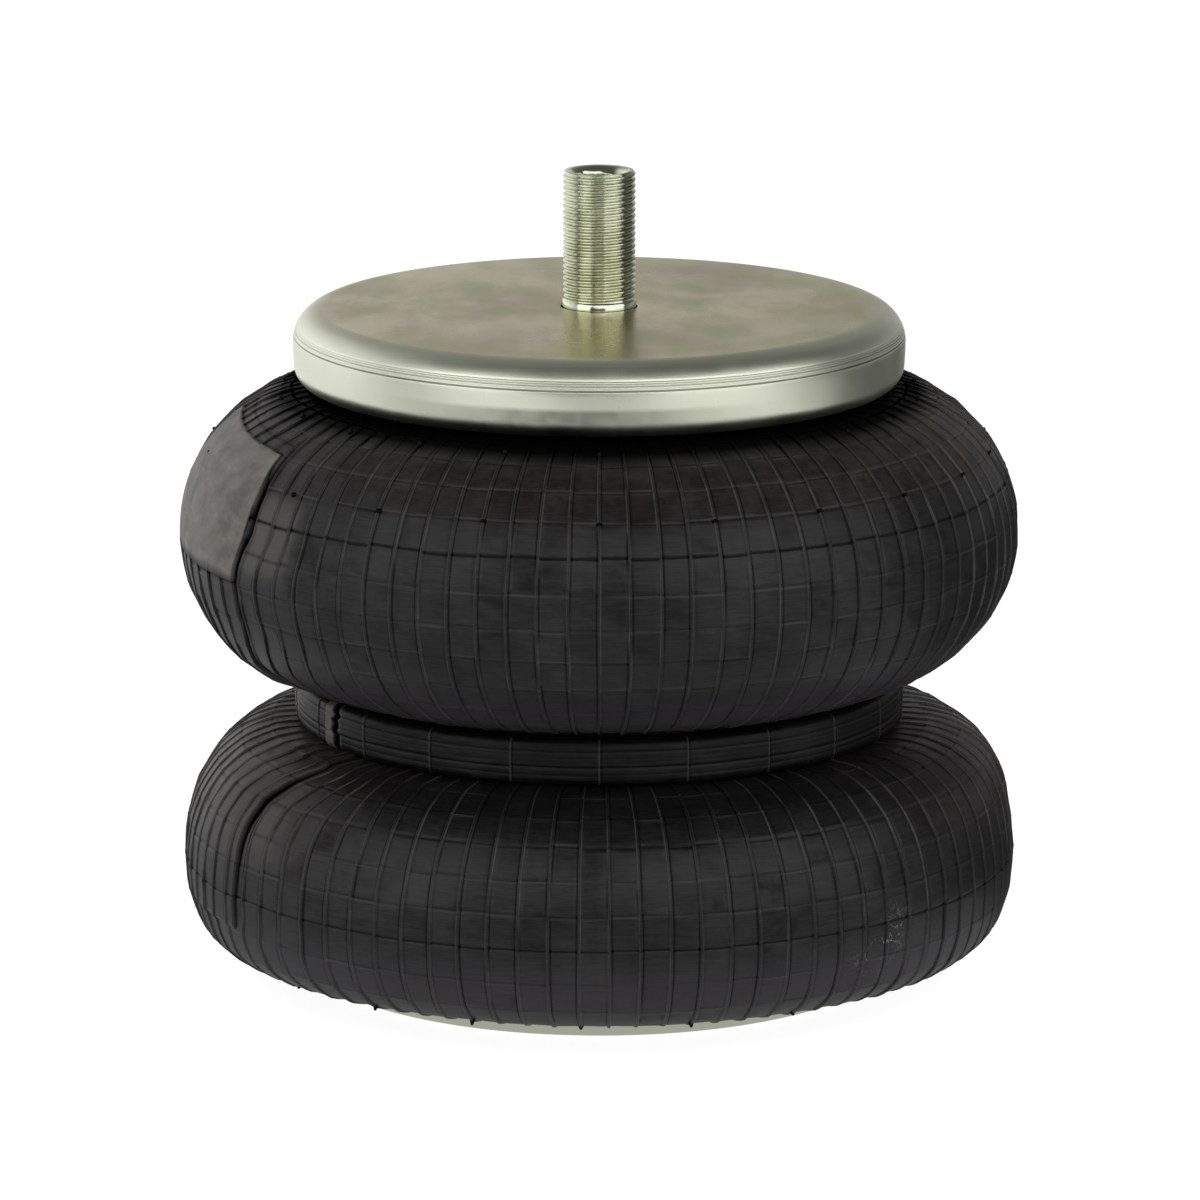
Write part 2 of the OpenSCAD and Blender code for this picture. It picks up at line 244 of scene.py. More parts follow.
def moulded_rubber(name, colour, bloom, marks=True, gloss=1.0):
    """Press-moulded rubber, full of carbon black: nearly black, satin, mottled where wax has bloomed.

    Its grooves, the furrow on one side of each rib, the splice's gap and the wall under the rim are
    painted near black as painted shade, and one side of each rib, the lips of the rings and a strip
    beside the splice are painted lighter as painted highlights. Wiping leaves fine streaks round the
    part, and the wiped patch is painted grey, lighter also as a painted sheen. Brown dust lies on the
    shoulders that face up, and the undersides keep a purple-grey bloom that also paints in bounce
    light from the table. Where it was knocked, fine pale cracks show.
    """
    def surface(tree):
        spots = mottled(tree, 17, 4)
        small = mottled(tree, 3.0, 3, 0.6)
        # The mould's grain is near 0.1 mm, too fine to show, so it is drawn at 0.4 mm
        grain = mottled(tree, 0.4, 3, 0.7)
        # Wiping leaves streaks some 6 mm long and 0.5 mm apart up the wall
        if marks:
            along = add(tree, "Attribute", attribute_name="along", output="Fac")
            along = add(tree, "Math", along, 1900.0, operation="MULTIPLY")
            up_the_wall = add(tree, "CombineXYZ", named={"Z": along})
            streaks = mottled(tree, 1.0, 3, 0.6, (0.16, 0.16, 0), up_the_wall)
        else:
            streaks = mottled(tree, 1.0, 3, 0.6, (0.16, 0.16, 1.5))
        larger = add(tree, "Math", spots, 0.6, operation="MULTIPLY")
        smaller = add(tree, "Math", small, 0.4, operation="MULTIPLY")
        mottle = add(tree, "Math", larger, smaller, operation="ADD")
        waxy = add(tree, "MapRange", mottle, 0.5, 0.75, 0, 0.10)
        base = coated(tree, linear(colour), (waxy, linear(bloom)))
        uneven_wax = add(tree, "Math", streaks, mottle, operation="ADD")
        rough = add(tree, "MapRange", uneven_wax, 0.75, 1.3, 0.34, 0.52)
        shine = add(tree, "MapRange", uneven_wax, 0.8, 1.25, 0.28, 0.48)
        relief = streaks
        if marks:
            crest, painted_shade, patch, bloom_and_bounce_light, dust, scuff, shade = (
                add(tree, "Attribute", attribute_name=key, output="Fac")
                for key in ("crest", "painted_shade", "patch", "bloom", "dust", "scuff", "shade"))
            duller = add(tree, "Math", patch, 0.12, operation="MULTIPLY")
            rough = add(tree, "Math", rough, duller, operation="ADD")
            smoother = add(tree, "Math", patch, 0.8, operation="MULTIPLY")
            streaked = add(tree, "Math", 1.0, smoother, operation="SUBTRACT")
            relief = add(tree, "Math", streaks, streaked, operation="MULTIPLY")
            painted_highlight = add(tree, "Math", crest, 0.4, operation="MULTIPLY")
            settled = add(tree, "MapRange", small, 0.3, 0.6, 0.15, 0.6)
            dusty = add(tree, "Math", dust, settled, operation="MULTIPLY")
            smears = mottled(tree, 3, 3, 0.6, (0.25, 0.5, 0.9))
            smears = add(tree, "Math", spots, smears, operation="ADD")
            smears = add(tree, "MapRange", smears, 0.78, 1.22, 0.45, 0.95)
            # The wiped patch is painted grey, and lighter also as a painted sheen where the left light grazes
            # it
            wiped_and_painted_sheen = add(tree, "Math", patch, smears, operation="MULTIPLY")
            cracks = add(tree, "Math", mottled(tree, 5, 4, 0.6), 0.5, operation="SUBTRACT")
            cracks = add(tree, "Math", cracks, operation="ABSOLUTE")
            cracks = add(tree, "MapRange", cracks, 0.001, 0.011, 1, 0)
            places = add(tree, "MapRange", small, 0.45, 0.58)
            cracks = add(tree, "Math", cracks, places, operation="MULTIPLY")
            cracked = add(tree, "Math", scuff, cracks, operation="MULTIPLY")
            # Painted light: crest lays on painted highlights, the near-black mix is painted shade, the wiped
            # patch is also a painted sheen and the bloom also painted bounce light
            base = coated(tree, base, (bloom_and_bounce_light, linear("#3b383c")), (painted_highlight, linear("#605e5b")),
                          (dusty, linear("#3d332b")), (wiped_and_painted_sheen, linear("#76716b")),
                          (cracked, linear("#9a96a0")), (painted_shade, linear("#040404")))
            dull = add(tree, "MapRange", small, 0.35, 0.65, 0.2, 0.8)
            dull = add(tree, "Math", shade, dull, operation="MULTIPLY")
            hazy = add(tree, "Math", bloom_and_bounce_light, 0.3, operation="MULTIPLY")
            for loss in (painted_shade, dull, hazy):
                left = add(tree, "Math", 1.0, loss, operation="SUBTRACT")
                shine = add(tree, "Math", shine, left, operation="MULTIPLY")
            shine = add(tree, "Math", shine, gloss, operation="MULTIPLY")
        return {"Base Color": base, "Roughness": rough, "Specular IOR Level": shine,
                "Normal": uneven(tree, (grain, 0.035, 0.5), (relief, 0.05, 0.5))}
    return surfaced(name, surface)


def cord_ply_rubber():
    """Calendered nylon cord ply: brown-black rubber with parallel cords showing as fine lines."""
    def surface(tree):
        where = add(tree, "Mapping", add(tree, "TexCoord", output="Object"), named={"Scale": [1 / MM] * 3})
        # Diagonal bands of this scale lie 1 mm apart, as the cords do
        cords = add(tree, "TexWave", where, named={"Scale": 0.35, "Distortion": 0.6, "Detail": 2.0},
                    output="Fac", wave_type="BANDS", bands_direction="DIAGONAL")
        return {"Base Color": coated(tree, linear("#3b2f26"), (cords, linear("#5f5040"))),
                "Roughness": 0.75, "Normal": uneven(tree, (cords, 0.2, 0.6))}
    return surfaced("calendered_cord_ply", surface)


def zinc_plated_sheet(colours):
    """Cold-rolled sheet, pressed, crimped and zinc plated with clear chromate.

    It is satin, with olive, pink and green blotches on its face, fine scratches and small pits.
    """
    def surface(tree):
        clouds = mottled(tree, 24, 6, 0.6, (1, 0.7, 1))
        shift = mottled(tree, 12, 5, 0.6, (1, 0.6, 1))
        rolled = mottled(tree, 1.5, 3, 0.5, (0.2, 2.0, 1.0))
        # Scratches near 0.05 mm wide are too fine to show, so they are drawn 0.25 mm wide
        scratch = mottled(tree, 1.0, 4, 0.7, (0.06, 4.0, 3.0))
        pits = mottled(tree, 0.8, 2, 0.5)
        flat = add(tree, "Attribute", attribute_name="flat", output="Fac")
        crease = add(tree, "Attribute", attribute_name="crease", output="Fac")
        face = coated(tree, linear(colours.plate),
                      (add(tree, "MapRange", clouds, 0.38, 0.66), linear(colours.plate_pink)),
                      (add(tree, "MapRange", shift, 0.50, 0.62, 0, 0.8), linear(colours.plate_green)))
        # The crease attribute darkens the shoulder's grooves and, low on the front of the rim, lays on a
        # painted reflection
        base = coated(tree, linear(colours.rim), (flat, face),
                      (add(tree, "MapRange", pits, 0.72, 0.80, 0, 0.4), linear("#77746a")),
                      (add(tree, "MapRange", scratch, 0.68, 0.78, 0, 0.4), linear("#55524a")),
                      (crease, linear("#34322c")))
        both = add(tree, "Math", clouds, shift, operation="ADD")
        rough = add(tree, "MapRange", both, 0.75, 1.25, 0.32, 0.42)
        smoother = add(tree, "Math", flat, 0.09, operation="MULTIPLY")
        rough = add(tree, "Math", rough, smoother, operation="SUBTRACT")
        scores = add(tree, "MapRange", scratch, 0.6, 0.75)
        return {"Base Color": base, "Metallic": 1.0, "Roughness": rough,
                "Normal": uneven(tree, (rolled, 0.012, 0.3), (scores, 0.02, 0.3))}
    return surfaced("zinc_plated_pressed_steel", surface)


def zinc_plated_turned(colours):
    """Turned and rolled steel, bright zinc plated: glossy, faintly yellow-green, with fine turning lines."""
    def surface(tree):
        # Turning lines lie 0.17 mm apart, which is a usual feed of a lathe
        turned = mottled(tree, 1.0, 3, 0.5, (0.2, 0.2, 6.0))
        clouds = add(tree, "MapRange", mottled(tree, 5, 3), 0.4, 0.65)
        return {"Base Color": coated(tree, linear(colours.stud), (clouds, linear("#c4cab0"))),
                "Metallic": 1.0, "Roughness": add(tree, "MapRange", turned, 0.35, 0.7, 0.10, 0.20),
                "Normal": uneven(tree, (turned, 0.01, 0.3))}
    return surfaced("zinc_plated_turned_steel", surface)


def drawn_bead_wire():
    """Drawn high-carbon wire with a bronze coat that bonds to rubber: smooth, warm and shiny."""
    def surface(tree):
        base = coated(tree, linear("#b88f58"), (mottled(tree, 3, 2), linear("#9c7444")))
        return {"Base Color": base, "Metallic": 1.0, "Roughness": 0.3}
    return surfaced("bronze_coated_drawn_wire", surface)


# Mesh helpers

def new_object(name, points, faces, material, values=None):
    """A smooth-shaded object of points, faces, one material and values for each point."""
    mesh = bpy.data.meshes.new(name)
    mesh.from_pydata(np.reshape(points, (-1, 3)).tolist(), [], faces)
    mesh.polygons.foreach_set("use_smooth", np.ones(len(mesh.polygons), bool))
    for key, data in (values or {}).items():
        layer = mesh.attributes.new(key, "FLOAT", "POINT")
        layer.data.foreach_set("value", data.ravel().astype(np.float32))
    mesh.update()
    mesh.materials.append(material)
    made = bpy.data.objects.new(name, mesh)
    bpy.context.scene.collection.objects.link(made)
    return made


def quads_of_rings(rows, columns):
    """Quads of a grid that closes on itself both ways, as indices."""
    i, j = np.meshgrid(np.arange(rows), np.arange(columns), indexing="ij")
    below, right = (i + 1) % rows, (j + 1) % columns
    corners = [i * columns + j, i * columns + right, below * columns + right, below * columns + j]
    return np.stack(corners, -1).reshape(-1, 4)


def ring_grid(radius, height, angles):
    """Points of a grid of rings, from the radius and height at each row and column."""
    return np.stack([radius * np.cos(angles), radius * np.sin(angles), height + 0 * angles], -1)


def full_turn(columns):
    """Angles in radians that go once round."""
    return np.linspace(0, 2 * math.pi, columns, endpoint=False)


def in_order(angles, least):
    """Angles in degrees from -180 to 180 in order, none closer than least to the one before."""
    angles = np.sort((angles + 180) % 360 - 180)
    return angles[np.r_[True, np.diff(angles) > least]]


def unit(x):
    """Keeps values between 0 and 1."""
    return np.clip(x, 0, 1)


def ease(x):
    """0 below 0, 1 above 1 and a smooth rise between them."""
    x = unit(x)
    return x * x * (3 - 2 * x)


def hill(x, middle, half):
    """1 at the middle, falling smoothly to 0 at half beyond it."""
    return ease(1 - np.abs(x - middle) / half)


def bell(x, width):
    """1 at 0, falling off as a normal curve does."""
    return np.exp(-(x / width) ** 2)


def turned_by(angle, middle):
    """How many degrees an angle lies from a middle, from -180 to 180."""
    return (angle - middle + 180) % 360 - 180


def sector(angle, middle, half):
    """A hill round the part, its middle and half width in degrees."""
    return hill(turned_by(angle, middle), 0, half)


def wavy(seed, rows, columns, u, v):
    """Smooth noise from -1 to 1 on a rows by columns net; v in 0..1 goes once round the part."""
    net = np.random.default_rng(seed).uniform(-1, 1, (rows + 2, columns))
    a, b = unit(u) * rows, (v % 1) * columns
    i, j = np.floor(a).astype(int), np.floor(b).astype(int)
    s, t = ease(a - i), ease(b - j)
    j0, j1 = j % columns, (j + 1) % columns
    low = net[i, j0] * (1 - t) + net[i, j1] * t
    high = net[i + 1, j0] * (1 - t) + net[i + 1, j1] * t
    return low * (1 - s) + high * s


# Outlines, as points of radius and height

def bend(radius, height, r, start, stop, steps=10):
    """Points of a circular bend round a centre, angles in degrees."""
    turn = np.radians(np.linspace(start, stop, steps + 1))
    return np.stack([radius + r * np.cos(turn), height + r * np.sin(turn)], 1)


def crown(radius, height, across, rise, power, start, stop, least, steps=40):
    """Points of a rounded quarter that lie outside radius least."""
    turn = np.radians(np.linspace(start, stop, steps + 1))
    c, s = np.cos(turn), np.sin(turn)
    points = np.stack([
        radius + across * np.sign(c) * np.abs(c) ** (2 / power),
        height + rise * np.sign(s) * np.abs(s) ** (2 / power)], 1)
    return points[points[:, 0] > least]


def upright(radius, heights):
    """Points one above the other."""
    return np.stack([np.full_like(heights, radius), heights], 1)


def level(radii, height):
    """Points side by side."""
    return np.stack([radii, np.full_like(radii, height)], 1)


def wall_outlines():
    """Outer surfaces of the upper and the lower convolution, from their lower ends up.

    The curves are the same as the construction model's. The upper one goes from the girdle into the
    top plate. The lower one comes out of the bottom plate, lies over its rim, sags and turns up.
    """
    scene = bpy.context.scene
    wall, steel = scene.air_spring_wall, scene.air_spring_steel
    gap, plate, curl, power = wall.seat_gap, steel.plate, steel.curl, wall.crown_power
    edge, top, lip = TOP_PLATE[1][0], TOP_PLATE[1][2], TOP_PLATE[0][2]
    rim = top - lip
    lip_middle, pocket = edge - steel.lip_reach + plate / 2, edge - steel.lip_reach - gap
    bead_bend, waist_bend = plate / 2 + gap, HOOP_EDGE + gap
    low, high = HOOP[0][2], HOOP[1][2]
    girdle, neck = (low + high) / 2, WAIST + waist_bend
    centre, equator = UPPER_COVER[1][0] - wall.upper_crown, top - wall.upper_drop
    upper = [
        [[WAIST, girdle + wall.waist_gap / 2]],
        bend(neck, high - HOOP_EDGE, waist_bend, 180, 90),
        crown(centre, equator, wall.upper_crown, equator - high - gap, power, -90, 0, neck + 1 * MM),
        crown(centre, equator, wall.upper_crown, lip - gap - equator, power, 2, 90, lip_middle + 1 * MM),
        bend(lip_middle, lip + plate / 2, bead_bend, 270, 180),
        [[pocket, top - plate - gap]],
    ]
    sag, centre = LOWER_COVER[1][0] - wall.sag, LOWER_COVER[1][0] - wall.lower_crown
    equator, floor_gap = wall.lower_equator, wall.sag_floor_gap
    lower = [
        [[pocket, plate + gap]],
        bend(lip_middle, rim - plate / 2, bead_bend, 180, 90),
        bend(edge - curl, rim - curl, curl + gap, 90, 0),
        crown(sag, rim - curl, sag - edge - gap, rim - curl - floor_gap, 2, 186, 270, 0, 14),
        crown(sag, equator, wall.sag, equator - floor_gap, wall.sag_power, -86, 0, 0),
        crown(centre, equator, wall.lower_crown, low - gap - equator, power, 2, 90, neck + 1 * MM),
        bend(neck, low + HOOP_EDGE, waist_bend, 270, 180),
        [[WAIST, girdle - wall.waist_gap / 2]],
    ]
    return np.concatenate(upper), np.concatenate(lower)


class Track:
    """An outline by the distance along it: its points and its outward normals."""

    def __init__(self, path):
        keep = np.r_[True, np.linalg.norm(np.diff(path, axis=0), axis=1) > 1e-7]
        self.path = path[keep]
        self.at = np.r_[0, np.cumsum(np.linalg.norm(np.diff(self.path, axis=0), axis=1))]
        ahead = np.gradient(self.path, self.at, axis=0)
        ahead /= np.linalg.norm(ahead, axis=1)[:, None]
        self.out = np.stack([ahead[:, 1], -ahead[:, 0]], 1)
        self.length = self.at[-1]
        self.widest = self.at[np.argmax(self.path[:, 0])]

    def point(self, s):
        """Radius and height at distance s."""
        return np.interp(s, self.at, self.path[:, 0]), np.interp(s, self.at, self.path[:, 1])

    def normal(self, s):
        """Outward direction at distance s."""
        r, z = np.interp(s, self.at, self.out[:, 0]), np.interp(s, self.at, self.out[:, 1])
        size = np.hypot(r, z)
        return r / size, z / size

    def chord(self, s, knots):
        """Radius and height at distance s on the chords between the distances in knots."""
        r, z = self.point(knots)
        return np.interp(s, knots, r), np.interp(s, knots, z)

    def inside(self, s, depth):
        """Points at distance s, a depth below the surface."""
        (r, z), (out_r, out_z) = self.point(s), self.normal(s)
        return np.stack([r - out_r * depth, z - out_z * depth], 1)


# The moulded net

class Net:
    """Everything that the mould leaves on one convolution's outer surface, and the light and shade painted on
    it.

    Its methods take d, the distance in millimetres up the wall from its widest ring, and the angle
    round the part in degrees. splice is the angle of the overlap's edge, splice_gap the width in
    degrees of the gap in front of it, splice_height the share of its full height and second_line a
    fainter line behind it. fade is 0 where the wall is covered and 1 where the net is full. dust
    lies on the shoulder, and a bloom below, which also paints in bounce light from the table.
    Painted shade darkens the wall under the rim, and a painted highlight lightens a strip beside
    the splice. scuff is a place knocked pale and swell how far the wall sags out of round, in
    millimetres. strong and bright are the places of rings that stand out, and fine the spans with
    a close mesh.
    """
    strong, bright, fine = (), (), ()

    def __init__(self, outline, pitch, offset, first, seed):
        settings = bpy.context.scene.air_spring_net
        self.settings, self.first, self.seed = settings, first, seed
        self.splice_angle, self.ribs = settings.splice_angle, settings.ribs
        self.rib_pitch = 360 / self.ribs
        self.track = Track(outline)
        self.middle, length = self.track.widest, self.track.length
        self.ends = -self.middle / MM, (length - self.middle) / MM
        reach = int(length / pitch) + 2
        rings = self.middle + offset + pitch * np.arange(-reach, reach)
        self.rings = rings[(rings > 3 * MM) & (rings < length - 3 * MM)]

    def nothing(self, d, angle=None):
        """Stands for what this convolution's mould doesn't leave."""
        return np.zeros(np.shape(d))

    second_line = bloom = painted_rim_shade = scuff = dust = swell = painted_highlight = nothing

    def patch(self, d, angle):
        """Where the surface is bare, and the painted shadow round that."""
        return self.nothing(d), self.nothing(d)

    def fade(self, d):
        return ease((d - self.ends[0] - 3) / 5) * ease((self.ends[1] - 3 - d) / 5)

    def columns(self):
        """Angles of the mesh's columns: close together on each rib and at the splice."""
        on_rib = np.array([0, 0.10, 0.18, 0.25, 0.32, 0.40, 0.52, 0.95])
        around = np.r_[-on_rib[:0:-1], on_rib, self.rib_pitch / 2]
        columns = (self.first + np.add.outer(np.arange(self.ribs) * self.rib_pitch, around)).ravel()
        columns = columns[np.abs(turned_by(columns, self.splice_angle)) > 1.3]
        at_splice = np.r_[-1.2, -0.9, -0.7, -0.55, -0.42, -0.3, -0.2, -0.1, -0.03,
                          0.03, 0.1, 0.2, 0.35, 0.6, 0.9, 1.05:2.8:0.12]
        return in_order(np.r_[columns, self.splice_angle + at_splice], 0.04)

    def rows(self):
        """Distances of the mesh's rows along the outline: close on each ring and in the fine spans."""
        on_ring = np.array([-1.0, -0.65, -0.38, -0.14, 0.14, 0.38, 0.65, 1.0]) * MM
        length = self.track.length
        rows = [np.add.outer(self.rings, on_ring).ravel(), np.arange(0, length, 2.3 * MM), [length]]
        rows += [np.arange(self.middle + start * MM, self.middle + stop * MM, 0.6 * MM)
                 for start, stop in self.fine]
        rows = np.concatenate(rows)
        rows = np.sort(rows[(rows >= 0) & (rows <= length)])
        keep = np.r_[True, np.diff(rows) > 0.2 * MM]
        keep[-1] = True
        return rows[keep]

    def is_ring(self, ring, places):
        """Whether each ring number is that of the ring nearest to one of the places."""
        return np.isin(ring, [np.abs(self.rings - self.middle - at * MM).argmin() for at in places])

    def surface(self, rows, columns):
        """Radius, height, angle and point values of the outer surface on rows and columns."""
        s, column = np.meshgrid(rows, columns, indexing="ij")
        net, track, ribs = self.settings, self.track, self.ribs
        d, u = (s - self.middle) / MM, s / track.length
        splice = self.splice(d) + 0.3 * wavy(self.seed + 4, 26, 3, u, 0 * u)
        near_splice = ease((24 - np.abs(column - self.splice_angle)) / 22)
        angle = column + (splice - self.splice_angle) * near_splice
        patch, border = self.patch(d, angle)
        fade = self.fade(d)
        bare = fade * (1 - patch)
        random = np.random.default_rng(self.seed + 1)

        def waves(step, rows, columns):
            return wavy(self.seed + step, rows, columns, u, (angle + 180) / 360)

        # Ribs: each has its own size, one side painted lighter as a painted highlight and a furrow beside it
        # painted dark as painted shade
        on_rib = (column - self.first) / self.rib_pitch
        nearest = np.round(on_rib).astype(int) % ribs
        side = on_rib - np.round(on_rib)
        x = np.abs(side) * self.rib_pitch / math.degrees(net.rib_width / 2 / UPPER_COVER[1][0])
        size = random.uniform(0.7, 1.1, ribs)[nearest] * (1 + 0.3 * waves(2, 34, 88))
        rib = ease((1.3 - x) / 0.7) * size
        lit = random.uniform(-1, 1, ribs)[nearest] + 0.8 * waves(5, 14, 88)
        lit = np.clip(3 * lit * np.sign(side), -1, 1)
        painted_lit_side = unit(0.15 + lit) * (0.65 + 0.5 * waves(7, 34, 88))
        furrow = bell(x - 1.5, 0.35)
        painted_furrow_shade = unit(0.35 - lit + 0.5 * waves(6, 18, 88))

        # Rings: a groove that jogs a little from cell to cell, painted dark as painted shade, with a lip on
        # one side painted lighter as a painted highlight
        cell = np.floor(on_rib).astype(int) % ribs
        cells = (ribs, len(self.rings) + 2)
        band = np.searchsorted(self.rings, s)
        ring = np.abs(s[..., None] - self.rings).argmin(-1)
        away = (s - self.rings[ring]) / MM
        jog = random.uniform(-0.3, 0.3, cells)[cell, ring] * MM
        shifted = s + jog * (1 - ease(np.abs(away) / 3))
        strong = self.is_ring(ring, self.strong)
        depth = random.uniform(0.05, 0.45, cells)[cell, ring] + random.uniform(0, 0.3, cells[1])[ring]
        depth = np.where(strong, 1.1, depth)
        lip_side = random.choice([-0.6, 0.6], cells[1])[ring]
        groove = bell(away, np.where(strong, 0.3, 0.26)) * (1 - 0.75 * rib)
        lip = bell(away - lip_side, 0.22) * random.uniform(0, 1, cells)[cell, ring] ** 2 * (1 - strong)
        lip = lip + 1.2 * self.is_ring(ring, self.bright) * bell(away - 0.6, 0.3)
        knot = strong * rib * bell(away, 0.5)

        # Cells: each is flattened a little, tilted its own way, and duller or shinier than the next
        across = on_rib - np.floor(on_rib)
        knots = np.r_[0, self.rings, track.length]
        along = (s - knots[band]) / (knots[np.minimum(band + 1, len(knots) - 1)] - knots[band] + 1e-9)
        inside = ease(np.minimum(across, 1 - across) / 0.14)
        inside *= ease(np.minimum(along, 1 - along) / 0.12)
        tilt = random.uniform(-1, 1, (3,) + cells)[:, cell, band]
        facet = (tilt[0] * (2 * across - 1) + tilt[1] * (2 * along - 1) + 0.4 * tilt[2]) * inside
        shade = random.uniform(0, 1, cells)[cell, band] ** 2 * inside
        shade = shade * unit(0.5 + 0.8 * waves(8, 60, 170))

        raised = net.rib_height * (rib - 1) * fade
        raised -= (0.1 * MM * furrow + net.ring_depth * depth * groove - 0.12 * MM * lip) * bare
        raised += (0.12 * MM * facet * (1 - rib) + 0.15 * MM * knot) * bare
        raised = raised * (1 - patch)
        raised += 0.14 * MM * waves(3, 5, 17) * fade + self.swell(d, angle) * MM

        # The splice: the overlap's step, the gap in front of it and a second line behind it; the gap and the
        # line are painted near black as painted shadow, and the step's edge carries a painted highlight
        beyond = splice - angle
        overlap = ease(beyond / 0.1) * (1 - ease((beyond - 4) / net.splice_span))
        gap = ease(-beyond / 0.05) * ease((beyond + self.splice_gap(d)) / 0.12)
        second = bell(beyond + 1.9, 0.16) * self.second_line(d)
        spliced = self.splice_height(d)
        raised += spliced * net.splice_height * (overlap - 0.4 * gap) - 0.25 * MM * second

        radius, rise = track.point(shifted)
        flat_r, flat_z = track.chord(shifted, knots)
        radius = radius + (flat_r - radius) * net.flatness * bare
        rise = rise + (flat_z - rise) * net.flatness * bare
        out_r, out_z = track.normal(s)
        wobble = 0.08 * wavy(self.seed, 9, ribs, u, on_rib / ribs)
        turned = np.radians(angle + wobble * (1 - patch) * (1 - near_splice))
        # crest: painted highlights on one side of each rib, on the ring lips, on the splice step's edge and
        # on the strip beside the splice
        crest = (bell(x - 0.85, 0.28) * painted_lit_side + 0.6 * lip + self.painted_highlight(d, angle) * inside) * bare
        edge = bell(beyond - 0.15, 0.12) * spliced
        # Painted shade: near black in the furrows, the ring grooves, the splice gap and second line, round
        # the bare patch and under the rim
        painted_shade = (0.8 * furrow * painted_furrow_shade + 0.8 * groove * unit(depth)) * bare + border + gap * spliced
        values = {
            "crest": unit(crest + 0.5 * edge),
            "painted_shade": unit(painted_shade + second + self.painted_rim_shade(d)),
            "scuff": self.scuff(d, angle),
            "dust": self.dust(d, angle),
            "patch": patch,
            "shade": shade * bare,
            "bloom": self.bloom(d),
            "along": s,
        }
        return radius + out_r * raised, rise + out_z * raised, turned, values


class UpperNet(Net):
    """The upper convolution's net, with a smooth bare patch beside its splice"""
    strong, bright, fine = (15.4,), (33.7,), ((-34, -12), (33, 42))
    vent_rings, vent_length = (24.6, 48.5), 0.45

    def splice(self, d):
        swing = 2.2 * ease((d + 2) / 14) - 0.8 * ease((d - 20) / 12)
        return self.splice_angle + 0.2 + swing - 6 * ease((-12 - d) / 24)

    def splice_gap(self, d):
        return 0.25 + 0.7 * hill(d, 17, 16) + 1.2 * ease((-22 - d) / 14)

    def splice_height(self, d):
        return ease((43 - d) / 9) * ease((d + 52) / 12)

    def patch(self, d, angle):
        """The bare patch, with a painted shadow along its edges and a dark mould line above it."""
        splice, left = self.splice(d), self.splice_angle - 35
        top = 34 + 4 * (splice - angle) / 30
        depth = np.minimum(d + 1.9, top - d) / 0.5
        depth = np.minimum(depth, np.minimum(splice - angle + 0.1, angle - left) / 0.3)
        # border is a painted shadow along the edges of the patch's step
        border = bell(depth - 0.2, 1) * (angle < splice + 0.1)
        line = bell(d - top - 3.6, 0.4) * (angle < splice) * (angle > left)
        return ease(depth), unit(0.9 * border + 0.8 * line)

    # A painted highlight: a strip of cells beside the splice painted lighter where a glossy reflection lies
    def painted_highlight(self, d, angle):
        past = angle - self.splice(d)
        return 1.3 * ease(past) * ease((11 - past) / 3) * ease(d / 3) * ease((26 - d) / 8)

    def dust(self, d, angle):
        return ease((d - 16) / 18) * (0.4 + 0.6 * sector(angle, -12, 60))

    # The bloom is a purple-grey tone on the underside that also stands in for painted bounce light from the
    # table
    def bloom(self, d):
        return 0.9 * ease((-12 - d) / 28)

    # Painted shade: the wall just under the top plate's rim is painted near black, where the rim shades it
    def painted_rim_shade(self, d):
        return 0.97 * ease((d - 41) / 8)


class LowerNet(Net):
    """The lower convolution's net, with a scuffed place and a swollen shoulder on the right"""
    strong, fine = (0.6,), ((26, 44),)
    vent_rings, vent_length = (-26.5,), 0.8

    def splice(self, d):
        return self.splice_angle - 1.2 + 6 * ease((d - 25) / 20) - 0.8 * ease((-3 - d) / 8)

    def splice_gap(self, d):
        return 0.35 + 1.1 * hill(d, 28, 26)

    def splice_height(self, d):
        return ease((d + 9) / 2)

    def second_line(self, d):
        return ease((d - 6) / 3) * ease((38 - d) / 4)

    def fade(self, d):
        return ease((d + 46) / 8) * ease((self.ends[1] - 3 - d) / 5)

    # The bloom is a purple-grey tone on the underside that also stands in for painted bounce light from the
    # table
    def bloom(self, d):
        return 0.7 * ease((4 - d) / 18)

    def scuff(self, d, angle):
        return unit(1.2 * np.exp(-((d + 6) / 7) ** 2 - ((angle + 47 - d / 3) / 3) ** 2))

    def dust(self, d, angle):
        return ease((d - 2) / 26) * np.maximum(sector(angle, 180, 70), 0.5 * sector(angle, 0, 60))

    def swell(self, d, angle):
        foot = 1.3 * sector(angle, -25, 50) + 0.8 * sector(angle, -160, 40)
        return 2.2 * hill(d, 28, 22) * sector(angle, 0, 60) + foot * hill(d, -21, 18)

    # A painted highlight: a strip of cells beside the splice painted lighter where a glossy reflection lies
    def painted_highlight(self, d, angle):
        past = angle - self.splice(d)
        return 0.7 * ease(past - 2) * ease((9 - past) / 3) * hill(d, 22, 16)


def vent_nub(point, outward, angle, length, width):
    """A small closed stub of rubber that a mould vent leaves: its points and faces."""
    sides, root = 7, 0.5 * MM
    turn = full_turn(sides)
    to_part = np.array([math.cos(angle), math.sin(angle)])
    up, side = np.r_[outward[0] * to_part, outward[1]], np.r_[-to_part[1], to_part[0], 0]
    round_it = np.outer(np.cos(turn), side) + np.outer(np.sin(turn), np.cross(up, side))
    base = np.r_[point[0] * to_part, point[1]] - up * root
    shape = ((0, 1.6), (0.45, 1.0), (0.85, 0.7), (1.0, 0.4))
    rings = [base + up * (length + root) * share + width * size * round_it for share, size in shape]
    tube = quads_of_rings(len(shape), sides)[:-sides].tolist()
    ends = [list(range(sides))[::-1], [(len(shape) - 1) * sides + j for j in range(sides)]]
    return np.concatenate(rings), tube + ends


